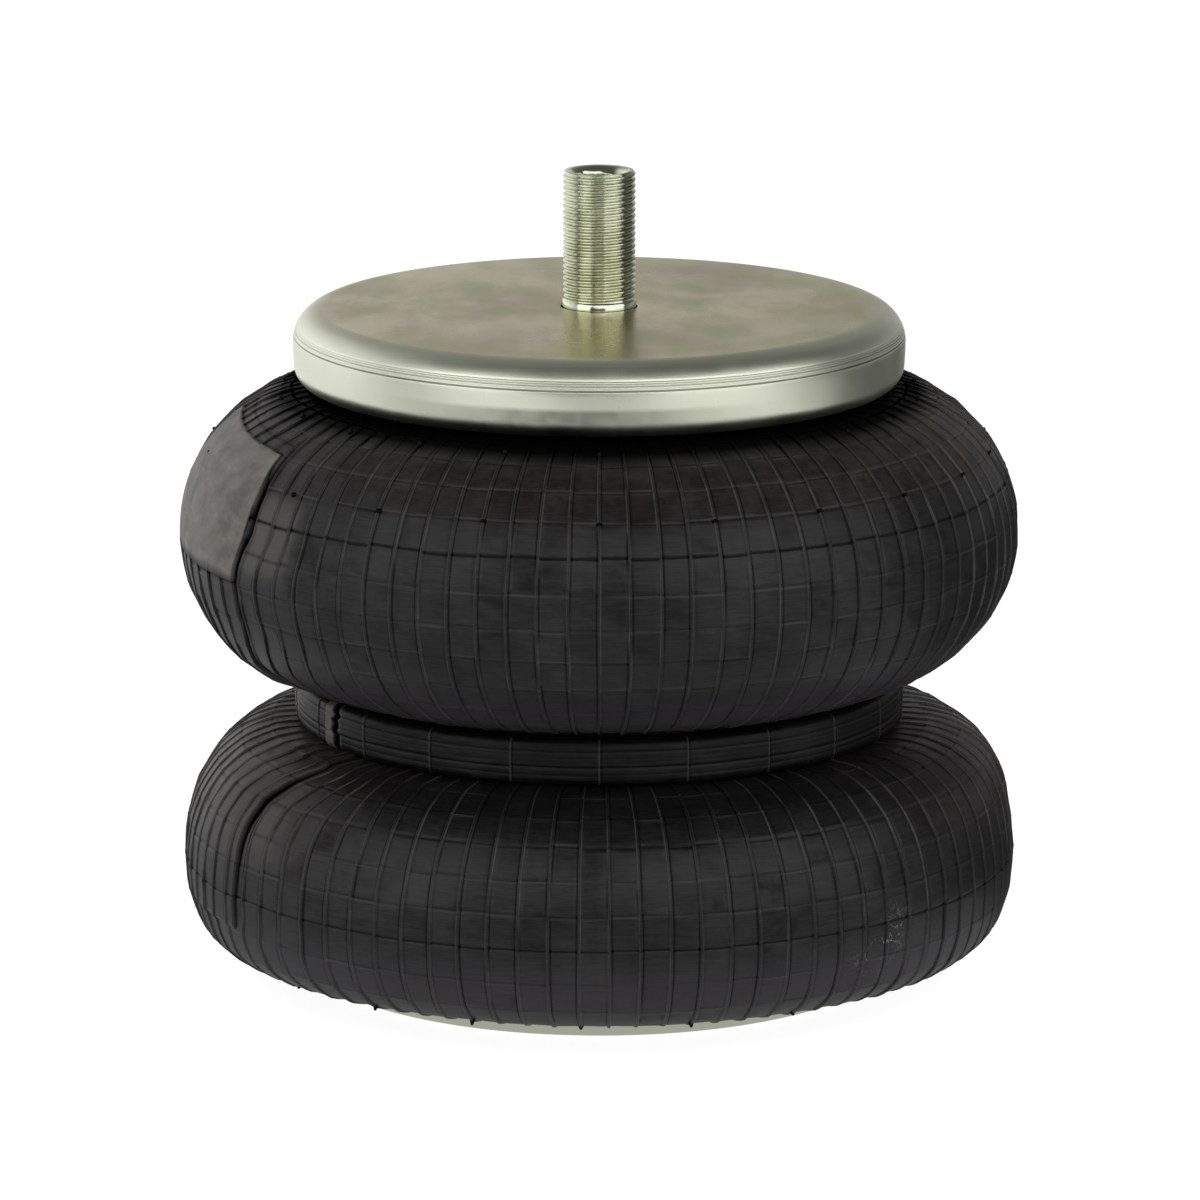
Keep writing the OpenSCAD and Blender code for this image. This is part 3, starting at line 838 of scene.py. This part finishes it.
def convolution_cover(name, net, material):
    """A convolution's outer cover: the netted outer side, the plain inner side and the vent nubs."""
    track = net.track
    columns, rows = net.columns(), net.rows()
    radius, rise, turned, values = net.surface(rows, columns)
    outer = np.stack([radius * np.cos(turned), radius * np.sin(turned), rise], -1)
    inner_rows = np.linspace(track.length, 0, 44)
    back = track.inside(inner_rows, bpy.context.scene.air_spring_wall.cover)
    inner = ring_grid(back[:, :1], back[:, 1:], np.radians(columns))
    parts = [np.concatenate([outer, inner]).reshape(-1, 3)]
    faces = quads_of_rings(len(rows) + len(inner_rows), len(columns))[:, ::-1].tolist()
    start = covered = len(parts[0])
    random = np.random.default_rng(net.seed + 9)
    for at in net.vent_rings:
        s = net.middle + at * MM
        for angle in np.arange(0, net.ribs, net.settings.ribs_per_vent) * net.rib_pitch + net.first:
            if net.patch(np.array(at), np.array(angle))[0] > 0:
                continue
            length = net.vent_length * MM * random.uniform(0.6, 1.2)
            nub, nub_faces = vent_nub(track.point(s), track.normal(s), math.radians(angle), length, 0.55 * MM)
            faces += [[corner + start for corner in face] for face in nub_faces]
            parts.append(nub)
            start += len(nub)
    # The vent nubs get 0.8 of the near-black value
    values = {key: np.r_[value.ravel(), np.zeros(covered - value.size),
                         np.full(start - covered, 0.8 * (key == "painted_shade"))] for key, value in values.items()}
    return new_object(name, np.concatenate(parts), faces, material, values)


def wall_layer(name, outline, from_depth, to_depth, material):
    """A plain inner layer of a wall, between two depths below the outer surface."""
    track = Track(outline)
    rows = np.linspace(0, track.length, 72)
    section = np.concatenate([track.inside(rows, from_depth), track.inside(rows, to_depth)[::-1]])[::-1]
    angles = full_turn(120)
    grid = ring_grid(section[:, :1], section[:, 1:], angles)
    return new_object(name, grid, quads_of_rings(len(section), len(angles)).tolist(), material)


def hoop_cover(splice, material):
    """The girdle hoop's rubber cover, with moulded marks across it, folds along it and a torn splice."""
    low, high, outer = HOOP[0][2], HOOP[1][2], HOOP[1][0] - 0.3 * MM
    inner, edge = HOOP[1][0] - HOOP_DEPTH, HOOP_EDGE
    section = np.concatenate([
        bend(inner + edge, low + edge, edge, 180, 270, 5),
        bend(outer - edge, low + edge, edge, 270, 355, 8),
        upright(outer, np.linspace(low + edge, high - edge, 60)),
        bend(outer - edge, high - edge, edge, 5, 90, 8),
        bend(inner + edge, high - edge, edge, 90, 180, 5),
    ])
    marks = 22
    spacing = 360 / marks
    around = np.array([-1.2, -0.6, -0.36, -0.24, -0.12, 0, 0.12, 0.24, 0.36, 0.6, 1.2])
    columns = in_order(np.r_[(FRONT + np.add.outer(np.arange(marks) * spacing, around)).ravel(),
                             np.arange(-180, 180, 1.1), np.arange(splice - 4, splice + 5, 0.16)], 0.05)
    r, z = section[:, :1], section[:, 1:]
    up, v = np.broadcast_arrays((z - low) / (high - low), (columns + 180) / 360)
    outside = ease((r - inner - 0.55 * (outer - inner)) / (0.3 * (outer - inner)))
    on_mark = (columns - FRONT) / spacing
    across = (on_mark - np.round(on_mark)) * spacing + 0 * z
    between = np.floor(on_mark).astype(int) % marks
    folds = np.random.default_rng(5).uniform(-0.04, 0.04, (7, marks))[:, between]
    # Each mark is a ridge painted lighter on top as a painted highlight, with a groove beside it painted dark
    # as painted shade
    relief = 0.2 * MM * bell(across, 0.16) - 0.12 * MM * bell(across - 0.36, 0.12)
    painted_shade = 0.6 * bell(across - 0.36, 0.14)
    crest = 0.8 * bell(across, 0.14)
    # Each fold is a groove painted dark as painted shade, with a painted highlight beside it
    for k, (height, depth, width) in enumerate((
            (0.10, 0.04, 0.02), (0.24, 0.06, 0.018), (0.40, 0.16, 0.024), (0.52, 0.04, 0.018),
            (0.63, 0.05, 0.018), (0.76, 0.14, 0.022), (0.88, 0.05, 0.018))):
        away = up - height - 0.6 * folds[k] - 0.012 * wavy(60 + k, 1, 31, 0.5 + 0 * v, v)
        relief = relief - depth * MM * bell(away, width)
        painted_shade = painted_shade + 3 * depth * bell(away, width)
        crest = crest + 1.2 * depth * bell(away + 1.6 * width, width)
    relief = relief + 0.07 * MM * wavy(8, 12, 90, up, v) - 0.35 * MM * (2 * up - 1) ** 2
    # At the torn splice the flap is painted lighter, and the gap before it is painted near black as painted
    # shade
    past = columns - (splice + 1.6 + 0.5 * wavy(9, 9, 2, up, v))
    gap = ease(past / 0.15) * ease((2.0 - past) / 0.3)
    flap = ease((columns - splice + 1.4) / 0.2) * ease(-past / 0.2)
    relief = relief + 0.4 * MM * flap - 0.6 * MM * gap
    crest = crest + 1.5 * flap + bell(past - 2.3, 0.25)
    painted_shade = painted_shade * (1 - 0.6 * flap) + gap + bell(columns - splice + 1.6, 0.2)
    blank = 0 * relief
    values = {"crest": unit(crest * outside), "painted_shade": unit(painted_shade * outside),
              "patch": 0.5 * flap * outside, "along": z + blank,
              **dict.fromkeys(("scuff", "dust", "bloom", "shade"), blank)}
    grid = ring_grid(r + relief * outside, z + blank, np.radians(columns))
    faces = quads_of_rings(*relief.shape)[:, ::-1].tolist()
    return new_object("girdle_hoop", grid, faces, material, values)


def fine_arc(radius, height, r, start, stop, grooves=()):
    """A bend with fine turned grooves, each given by its angle, width and depth."""
    turn = np.linspace(start, stop, 46)
    for at, width, depth in grooves:
        turn = np.r_[turn, at + math.degrees(width / r) * np.array([-1.2, -0.6, -0.3, 0, 0.3, 0.6, 1.2])]
    turn = np.sort(turn)[::-1]
    reach = np.full_like(turn, r)
    for at, width, depth in grooves:
        reach -= depth * bell(np.radians(turn - at) * r, width / 2)
    return np.stack([radius + reach * np.cos(np.radians(turn)), height + reach * np.sin(np.radians(turn))], 1)


def top_plate(steel, material):
    """The top bead plate: its dished face, grooved shoulder, slightly barrelled rim and rolled lip."""
    outer, top, low = TOP_PLATE[1][0], TOP_PLATE[1][2], TOP_PLATE[0][2]
    thick, shoulder, curl = steel.plate, steel.shoulder, steel.rim_curl
    hole = steel.collar_radius + steel.stud_hole_gap
    edge = 0.35 * MM
    crease, burnish = 10.5, 19.5
    grooves = ((crease, 0.34 * MM, 0.22 * MM), (15.5, 0.3 * MM, 0.10 * MM), (burnish, 0.34 * MM, 0.15 * MM),
               (24, 0.3 * MM, 0.09 * MM), (28.5, 0.4 * MM, 0.08 * MM))
    flat = np.linspace(hole + 2 * MM, outer - shoulder - 1 * MM, 26)
    lip = outer - steel.lip_reach + thick / 2
    section = np.concatenate([
        bend(hole + edge, top - edge, edge, 180, 90, 5),
        level(flat, top),
        fine_arc(outer - shoulder, top - shoulder, shoulder, 90, 0, grooves),
        upright(outer, np.linspace(top - shoulder - 0.3 * MM, low + curl + 0.3 * MM, 6)),
        bend(outer - curl, low + curl, curl, 0, -90, 22),
        bend(lip, low + thick / 2, thick / 2, -90, -270, 16),
        bend(outer - curl, low + curl, curl - thick, -90, 0, 10),
        bend(outer - shoulder, top - shoulder, shoulder - thick, 0, 90, 12),
        level(flat[::-1], top - thick),
        [[hole, top - thick]],
    ])
    angles = full_turn(288)
    r, z = section[:, :1] + 0 * angles, section[:, 1:] + 0 * angles
    share, up = unit(r / outer), (z - low) / (top - low)
    v = angles / (2 * math.pi) + 0 * r
    dish = 0.10 * MM * wavy(31, 6, 9, share, v) * ease((share - 0.2) / 0.2)
    on_rim = ease((r - 0.93 * outer) / (0.05 * outer))
    ripple = 0.05 * MM * wavy(32, 4, 60, up, v) * on_rim
    depth = ease((top - 0.5 * MM - z) / (1 * MM))
    dome = 0.35 * MM * ease((r - 0.76 * outer) / (0.24 * outer))
    turn = np.degrees(np.arctan2(z - top + shoulder, r - outer + shoulder))
    dark = 0.9 * bell(turn - crease, 1.2) + 0.45 * bell(turn - burnish, 1.1)
    dark = dark * (r > outer - 0.5 * shoulder) * (0.75 + 0.25 * wavy(33, 1, 70, 0.5 + 0 * v, v))
    # Painted reflection: a dark band low on the front of the rim, where it mirrors the dark table in front of
    # the part
    painted_reflection = sector(np.degrees(angles), -96, 44) * ease((low + 8.2 * MM - z) / (0.6 * MM))
    dark = dark + 0.66 * painted_reflection * on_rim * (0.9 + 0.16 * wavy(34, 12, 230, up, v))
    z = z - np.abs(dish) * (1 - depth) * (1 - on_rim) - dome * ease((z - low - curl) / (4 * MM))
    below = (top - shoulder - z) / (top - shoulder - low - curl)
    barrel = 0.22 * MM * np.where(below < 1, unit(below) ** 2, 2 * below - 1)
    barrel = barrel * unit((r - outer + curl) / curl)
    # The crease value darkens the shoulder's grooves and carries the painted reflection on the front of the
    # rim
    values = {"flat": ease((0.97 * outer - r) / (9 * MM)) * (1 - depth), "crease": unit(dark)}
    grid = ring_grid(r - np.abs(ripple) - barrel, z, angles)
    return new_object("top_plate", grid, quads_of_rings(*r.shape).tolist(), material, values)


def thread_wave(turn):
    """Height of a rolled thread from root to crest, 0 to 1, for a number of turns."""
    return ease((np.abs((turn % 1) - 0.5) * 2 - 0.12) / 0.66)


def threaded_stud(steel, material):
    """The combination stud: its head, collar, rolled thread and chamfer, and the tapered air port."""
    tip, head_low, head = STUD[1][2], STUD[0][2], STUD[1][0]
    plate_top, collar, crest = TOP_PLATE[1][2], steel.collar_radius, steel.stud_radius
    head_top, collar_top = plate_top - steel.plate, plate_top + steel.collar_height
    port, mouth, passage, taper = 5.6 * MM, 7.4 * MM, 4.0 * MM, 0.4 * MM
    port_bottom, bevel, thread_depth = tip - 18 * MM, 0.5 * MM, 0.86 * MM
    thread_rows = np.arange(collar_top + 0.25 * MM, tip - 0.05 * MM, steel.stud_pitch / 14)
    port_rows = np.arange(tip - (mouth - port) - 0.1 * MM, port_bottom, -steel.port_pitch / 10)
    foot = [[passage, head_low], [head - bevel, head_low], [head, head_low + bevel], [head, head_top - bevel],
            [head - bevel, head_top], [collar, head_top], [collar, head_top + 0.2 * MM], [collar, plate_top],
            [collar, collar_top - 0.3 * MM], [collar - 0.3 * MM, collar_top]]
    rim = [[crest - 0.6 * MM, tip], [mouth + 0.5 * MM, tip], [mouth, tip - 0.15 * MM],
           [(mouth + port) / 2 + 0.2 * MM, tip - (mouth - port) / 2]]
    section = np.concatenate([
        foot, upright(crest, thread_rows), rim, upright(port, port_rows),
        [[port, port_bottom], [passage, port_bottom - (port - passage)]],
    ])
    angles = full_turn(120)
    once = angles / (2 * math.pi)
    r, z = section[:, :1] + 0 * angles, section[:, 1:] + 0 * angles
    rows = slice(len(foot), len(foot) + len(thread_rows))
    fade = ease((z[rows] - collar_top) / (1.2 * steel.stud_pitch))
    wave = thread_wave(z[rows] / steel.stud_pitch - once)
    threaded = crest - thread_depth * (1 - wave) * fade - 0.3 * MM * (1 - fade)
    r[rows] = np.minimum(threaded, crest - 0.6 * MM + (tip - z[rows]) * 0.95)
    rows = slice(rows.stop + len(rim), rows.stop + len(rim) + len(port_rows))
    flare = taper * (z[rows] - port_bottom) / (tip - port_bottom)
    r[rows] = port + 0.62 * MM * thread_wave(z[rows] / steel.port_pitch - once) + flare
    faces = quads_of_rings(*r.shape)[:, ::-1].tolist()
    return new_object("threaded_stud", ring_grid(r, z, angles), faces, material)


# The pieces

UPPER_BLEND = ((0, 0, HOOP[1][2] + 0.5 * MM), (0, 0, TOP_PLATE[0][2] - 0.5 * MM))
LOWER_BLEND = ((0, 0, BOTTOM_PLATE[1][2] + 0.4 * MM), (0, 0, HOOP[0][2] + 4 * MM))


class AIRSPRING_OT_upper_convolution(bpy.types.Operator):
    """Makes the upper convolution's cover with its rib net, bare patch, splice and vent nubs"""
    bl_idname = "air_spring.upper_convolution"
    bl_label = "Upper Convolution"

    def execute(self, context):
        colours = context.scene.air_spring_colours
        net = UpperNet(wall_outlines()[0], context.scene.air_spring_net.upper_ring_pitch,
                       offset=-2.8 * MM, first=FRONT, seed=11)
        rubber = moulded_rubber("press_moulded_cover_rubber", colours.rubber, colours.rubber_bloom)
        piece = convolution_cover("upper_convolution_cover", net, rubber)
        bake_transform(piece)
        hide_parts("upper_outer_cover")
        return {"FINISHED"}


class AIRSPRING_OT_lower_convolution(bpy.types.Operator):
    """Makes the lower convolution's cover, which sags over the bottom plate, with its net and splice"""
    bl_idname = "air_spring.lower_convolution"
    bl_label = "Lower Convolution"

    def execute(self, context):
        net = LowerNet(wall_outlines()[1], context.scene.air_spring_net.lower_ring_pitch,
                       offset=0.6 * MM, first=FRONT - 2.7, seed=23)
        rubber = bpy.data.materials["press_moulded_cover_rubber"]
        piece = convolution_cover("lower_convolution_cover", net, rubber)
        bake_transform(piece)
        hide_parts("lower_outer_cover")
        return {"FINISHED"}


class AIRSPRING_OT_wall_layers(bpy.types.Operator):
    """Makes the cord plies and liners under both covers"""
    bl_idname = "air_spring.wall_layers"
    bl_label = "Plies and Liners"

    def execute(self, context):
        wall = context.scene.air_spring_wall
        cord = cord_ply_rubber()
        liner = moulded_rubber("calendered_liner_rubber", "#2a2725", "#3a3431", marks=False)
        depths = np.cumsum([wall.cover, wall.ply, wall.ply, wall.liner])
        layers = (("outer_ply", cord, "cord_ply"), ("inner_ply", cord, "cord_ply"),
                  ("inner_liner", liner, "liner_rubber"))
        for side, outline, bodies, span in zip(
                ("upper", "lower"), wall_outlines(), (("girdle", "top_end"), ("bottom_end", "girdle")),
                (UPPER_BLEND, LOWER_BLEND)):
            for k, (layer, material, slot) in enumerate(layers):
                piece = wall_layer(f"{side}_{layer}_wall", outline, depths[k], depths[k + 1], material)
                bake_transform(piece)
                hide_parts(f"{side}_{layer}")
        return {"FINISHED"}


class AIRSPRING_OT_girdle_hoop(bpy.types.Operator):
    """Makes the girdle hoop's rubber cover with its mould lines, folds and torn splice"""
    bl_idname = "air_spring.girdle_hoop"
    bl_label = "Girdle Hoop"

    def execute(self, context):
        bloom = context.scene.air_spring_colours.rubber_bloom
        rubber = moulded_rubber("moulded_hoop_rubber", "#0a0909", bloom, gloss=0.5)
        piece = hoop_cover(context.scene.air_spring_net.splice_angle - 2.6, rubber)
        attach(piece, "girdle")
        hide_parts("girdle_hoop_cover")
        return {"FINISHED"}


class AIRSPRING_OT_top_plate(bpy.types.Operator):
    """Makes the top bead plate with the crease and burnished rings that crimping leaves on its rim"""
    bl_idname = "air_spring.top_plate"
    bl_label = "Top Bead Plate"

    def execute(self, context):
        piece = top_plate(context.scene.air_spring_steel, zinc_plated_sheet(context.scene.air_spring_colours))
        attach(piece, "top_end")
        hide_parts("top_bead_plate")
        return {"FINISHED"}


class AIRSPRING_OT_stud(bpy.types.Operator):
    """Makes the combination stud with its rolled thread, chamfer, collar, head and threaded air port"""
    bl_idname = "air_spring.stud"
    bl_label = "Combination Stud"

    def execute(self, context):
        material = zinc_plated_turned(context.scene.air_spring_colours)
        piece = threaded_stud(context.scene.air_spring_steel, material)
        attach(piece, "top_end")
        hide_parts("combination_stud")
        return {"FINISHED"}


class AIRSPRING_OT_hidden_steel(bpy.types.Operator):
    """Finishes the pieces that keep their construction shape: bottom plate, nuts, wires and fillers"""
    bl_idname = "air_spring.hidden_steel"
    bl_label = "Bottom Plate, Nuts and Beads"

    def execute(self, context):
        filler = moulded_rubber("hard_bead_filler_rubber", "#201e1d", "#2e2a28", marks=False)
        for material, names in (
                (bpy.data.materials["zinc_plated_pressed_steel"], ("bottom_bead_plate",)),
                (bpy.data.materials["zinc_plated_turned_steel"], ("blind_nut_left", "blind_nut_right")),
                (drawn_bead_wire(), ("upper_bead_wire", "lower_bead_wire", "girdle_hoop_wire")),
                (filler, ("upper_bead_filler", "lower_bead_filler"))):
            for name in names:
                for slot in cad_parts[name].material_slots:
                    slot.material = material
        return {"FINISHED"}


# The stage

def add_camera(scene):
    """The photograph's long lens from in front, a little above the plate."""
    looks_down = 13.013
    data = bpy.data.cameras.new("camera")
    data.lens, data.sensor_width, data.clip_end = 219.5, 36, 50
    camera = bpy.data.objects.new("camera", data)
    camera.location = (0.0002, -1.8814, 0.5318)
    camera.rotation_euler = (math.radians(90 - looks_down), 0, 0)
    scene.collection.objects.link(camera)
    scene.camera = camera


def layered(tree, surface, *layers):
    """A surface with others over it, each seen by its own share of the rays."""
    for share, other in layers:
        surface = add(tree, "MixShader", share, surface, other)
    return surface


def kinds_of_rays(tree):
    """The rays that go straight to the eye, and those that a shiny surface sends on."""
    straight, through, glossy = (
        add(tree, "LightPath", output=f"Is {kind} Ray") for kind in ("Camera", "Transmission", "Glossy"))
    return add(tree, "Math", straight, through, operation="MAXIMUM"), glossy


def add_floor():
    """A pale table that shows white to the camera, less the part's own shadow.

    Metal and rubber see its bright middle and, past it, the foot of the soft boxes and the sweep.
    """
    material = bpy.data.materials.new("white_painted_board")
    tree = empty_tree(material)
    colour = coated(tree, linear("#ecece8"), (mottled(tree, 40, 2), linear("#f2f2f0")))
    paint = add(tree, "BsdfDiffuse", colour)
    where = add(tree, "TexCoord", output="Object")
    reach = add(tree, "VectorMath", where, operation="LENGTH", output="Value")
    left = lobe(tree, where, (-0.588, -0.809, 0), 0.91, 0.96)
    right = lobe(tree, where, (0.68, -0.73, 0), 0.87, 0.93)
    sweep = lobe(tree, where, (-0.42, 0.91, 0), 0.25, 0.5)
    far = add(tree, "Math", left, right, operation="MAXIMUM")
    far = add(tree, "Math", far, sweep, operation="MAXIMUM")
    far = add(tree, "MapRange", far, 0, 1, 0.08, 1.0)
    middle = add(tree, "MapRange", reach, 0.12, 0.40, 0.52, 0.72)
    edge = add(tree, "MapRange", reach, 0.44, 0.64, 0, 0.48)
    near = add(tree, "Math", middle, edge, operation="ADD")
    beyond = add(tree, "MapRange", reach, 0.70, 0.78)
    lit = add(tree, "Mix", named={0: beyond, 2: near, 3: far})
    dim = add(tree, "MapRange", lobe(tree, where, (0.82, 0.57, 0), 0.72, 0.92), 0, 1, 1.0, 0.0)
    lit = add(tree, "Math", lit, dim, operation="MULTIPLY")
    mirrored = add(tree, "Emission", WHITE, lit)
    glow = add(tree, "Emission", WHITE, 1.36)
    seen, glossy = kinds_of_rays(tree)
    seen = add(tree, "Math", seen, 0.68, operation="MULTIPLY")
    glossy = add(tree, "Math", glossy, 0.88, operation="MULTIPLY")
    add(tree, "OutputMaterial", layered(tree, paint, (seen, glow), (glossy, mirrored)))
    size = 4.0
    corners = [(-size, -size, 0), (size, -size, 0), (size, size, 0), (-size, size, 0)]
    board = new_object("floor", corners, [(0, 1, 2, 3)], material)
    board.location.z = -0.5 * MM


def add_surroundings(scene):
    """White to the camera. Metal sees that white behind and on the left, and a dim room elsewhere."""
    scene.world = bpy.data.worlds.new("white_sweep")
    tree = empty_tree(scene.world)
    where = add(tree, "TexCoord", output="Generated")
    x, y, z = (add(tree, "SeparateXYZ", where, output=axis) for axis in "XYZ")
    wall = add(tree, "MapRange", z, 0.36, 0.19, 0, 0.5, clamp=True, interpolation_type="SMOOTHSTEP")
    overhead = add(tree, "MapRange", z, 1.05, 0.5, 0, 0.5)
    aside = add(tree, "MapRange", add(tree, "Math", x, operation="ABSOLUTE"), 0.15, 0.6, 1, 0.1)
    ceiling = add(tree, "Math", overhead, aside, operation="MULTIPLY")
    sweep = add(tree, "Math", wall, ceiling, operation="ADD")
    rear = add(tree, "MapRange", y, -0.1, 0.5, 0, 1, clamp=True, interpolation_type="SMOOTHSTEP")
    behind = add(tree, "Math", rear, sweep, operation="MULTIPLY")
    side = add(tree, "MapRange", x, -0.05, 0.05, 0.62, 0.44)
    behind = add(tree, "Math", behind, side, operation="MULTIPLY")
    left = lobe(tree, where, (-0.87, 0.47, 0), 0.55, 0.92)
    left = add(tree, "Math", left, 0.8, operation="MULTIPLY")
    front = lobe(tree, where, (0, -0.85, 0.53), 0.92, 0.98)
    front = add(tree, "Math", front, 1.3, operation="MULTIPLY")
    dim_room = add(tree, "Math", front, 0.08, operation="ADD")
    lights = add(tree, "Math", behind, left, operation="ADD")
    room = add(tree, "Math", lights, dim_room, operation="ADD")
    mirrored = add(tree, "Background", WHITE, room)
    soft = add(tree, "Background", (0.98, 0.99, 1.0, 1), 0.5)
    white = add(tree, "Background", WHITE, 1.0)
    seen, glossy = kinds_of_rays(tree)
    add(tree, "OutputWorld", layered(tree, soft, (glossy, mirrored), (seen, white)))


def add_lamps(scene):
    """Two large soft boxes in front, on the left and on the right of the camera."""
    target, distance, elevation, high = np.array([0, 0, 0.10]), 1.5, 26, 1.3
    for name, azimuth, wide, power in (("soft_box_left", -50, 1.2, 7.2), ("soft_box_right", 50, 1.9, 9.8)):
        data = bpy.data.lights.new(name, "AREA")
        data.shape = "RECTANGLE"
        data.size, data.size_y = wide, high
        data.energy = power
        data.color = linear("#fffffe")[:3]
        lamp = bpy.data.objects.new(name, data)
        flat, up = math.radians(azimuth), math.radians(elevation)
        away = np.array([math.sin(flat) * math.cos(up), -math.cos(flat) * math.cos(up), math.sin(up)])
        lamp.location = target + distance * away
        lamp.rotation_euler = (math.pi / 2 - up, 0, flat)
        scene.collection.objects.link(lamp)


class AIRSPRING_OT_stage(bpy.types.Operator):
    """Makes the camera, the pale floor, the white surroundings and the soft lamps"""
    bl_idname = "air_spring.stage"
    bl_label = "Stage"

    def execute(self, context):
        context.scene.view_settings.view_transform = "Standard"
        add_camera(context.scene)
        add_floor()
        add_surroundings(context.scene)
        add_lamps(context.scene)
        return {"FINISHED"}


OPERATORS = (
    AIRSPRING_OT_stage,
    AIRSPRING_OT_upper_convolution,
    AIRSPRING_OT_lower_convolution,
    AIRSPRING_OT_wall_layers,
    AIRSPRING_OT_girdle_hoop,
    AIRSPRING_OT_top_plate,
    AIRSPRING_OT_stud,
    AIRSPRING_OT_hidden_steel,
)


class AIRSPRING_PT_panel(bpy.types.Panel):
    """Lists the sizes, the colours and the steps in the sidebar"""
    bl_idname = "AIRSPRING_PT_panel"
    bl_label = "Air Spring"
    bl_space_type = "VIEW_3D"
    bl_region_type = "UI"
    bl_category = "Air Spring"

    def draw(self, context):
        for group in SETTINGS:
            box = self.layout.box()
            values = getattr(context.scene, group)
            for name in values.__annotations__:
                box.prop(values, name)
        for operator in OPERATORS:
            self.layout.operator(operator.bl_idname)


def register():
    """Registers the settings, the operators and the panel."""
    for name, group in SETTINGS.items():
        bpy.utils.register_class(group)
        setattr(bpy.types.Scene, name, bpy.props.PointerProperty(type=group))
    for operator in OPERATORS:
        bpy.utils.register_class(operator)
    bpy.utils.register_class(AIRSPRING_PT_panel)


def unregister():
    """Takes the panel, the operators and the settings away again."""
    bpy.utils.unregister_class(AIRSPRING_PT_panel)
    for operator in reversed(OPERATORS):
        bpy.utils.unregister_class(operator)
    for name, group in SETTINGS.items():
        delattr(bpy.types.Scene, name)
        bpy.utils.unregister_class(group)


def main():
    """Builds the whole scene."""
    register()
    for operator in OPERATORS:
        group, name = operator.bl_idname.split(".")
        getattr(getattr(bpy.ops, group), name)()


if __name__ == "__main__":
    main()
